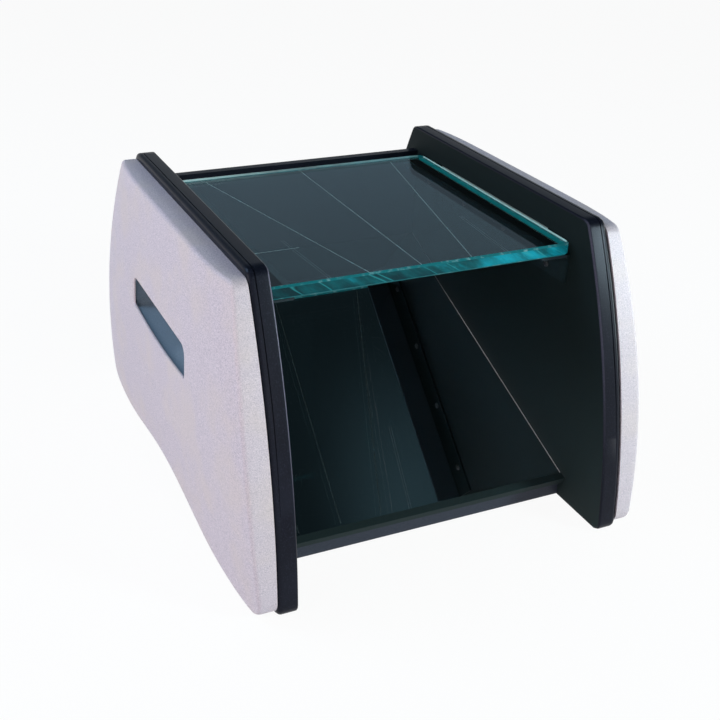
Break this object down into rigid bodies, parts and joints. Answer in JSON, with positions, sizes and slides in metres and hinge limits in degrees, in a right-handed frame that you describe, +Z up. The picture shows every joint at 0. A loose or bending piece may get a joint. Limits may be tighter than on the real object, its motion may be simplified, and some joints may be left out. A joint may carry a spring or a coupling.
{
  "type": "podoscope",
  "caption": "Free-standing podoscope: a thick glass standing plate over a sloping mirror, between two bowed side frames with domed covers and handle recesses.",
  "frame": {"origin": "on the floor, below the middle of the object's outline", "axes": "+X to the right across the plate, +Y away from the open front, where the mirror is looked into, +Z up"},
  "size_m": [0.526, 0.6304, 0.3755],
  "materials": {
    "frame_board": "fibreboard in satin black lacquer",
    "cover_shell": "moulded shell in fine textured silver paint",
    "handle_cup": "grey moulded plastic",
    "standing_glass": "clear float glass with ground edges",
    "ledge_metal": "black powder coat",
    "rubber": "soft black rubber",
    "mirror": "silvered glass",
    "backing_wood": "black painted board",
    "lamp_glass": "white coated tube",
    "holder_plastic": "white moulding",
    "reflector_metal": "bright rolled sheet",
    "ballast_case": "grey enamel",
    "lead_sheath": "black sheath",
    "inlet_plastic": "black moulding",
    "rocker_plastic": "black gloss moulding",
    "contact_metal": "plated contact",
    "screw_steel": "zinc plated"
  },
  "bodies": {
    "frame": {"left_side_frame": "frame_board", "right_side_frame": "frame_board", "left_cover": "cover_shell", "right_cover": "cover_shell", "left_handle_cup": "handle_cup", "right_handle_cup": "handle_cup", "left_glass_ledge": "ledge_metal", "right_glass_ledge": "ledge_metal", "left_glass_strip": "rubber", "right_glass_strip": "rubber", "mirror_glass": "mirror", "mirror_board": "backing_wood", "left_mirror_rail": "backing_wood", "right_mirror_rail": "backing_wood", "front_bar": "frame_board", "rear_panel": "frame_board", "base_panel": "frame_board", "left_lamp_tube": "lamp_glass", "right_lamp_tube": "lamp_glass", "left_lamp_holders": "holder_plastic", "right_lamp_holders": "holder_plastic", "left_reflector": "reflector_metal", "right_reflector": "reflector_metal", "ballast": "ballast_case", "left_lamp_lead": "lead_sheath", "right_lamp_lead": "lead_sheath", "mains_lead": "lead_sheath", "lead_clips": "inlet_plastic", "power_inlet": "inlet_plastic", "inlet_pins": "contact_metal", "frame_bolts": "screw_steel", "cover_screws": "screw_steel", "cup_screws": "screw_steel", "ledge_screws": "screw_steel", "rail_screws": "screw_steel", "ballast_screws": "screw_steel", "inlet_screws": "screw_steel", "floor_pads": "rubber"},
    "glass": {"glass_plate": "standing_glass"},
    "fuse_drawer": {"fuse_drawer": "inlet_plastic", "fuse": "contact_metal"},
    "rocker": {"switch_rocker": "rocker_plastic"}
  },
  "joints": [
    {"name": "glass_lift", "type": "slide", "parent": "frame", "child": "glass", "axis": [0, 0, 1], "range_m": [0, 0.06]},
    {"name": "drawer_slide", "type": "slide", "parent": "frame", "child": "fuse_drawer", "axis": [0, 1, 0], "range_m": [0, 0.02]},
    {"name": "rocker_tilt", "type": "hinge", "parent": "frame", "child": "rocker", "pos_m": [-0.12, 0.2085, 0.0825], "axis": [1, 0, 0], "range_deg": [0, 22]}
  ]
}
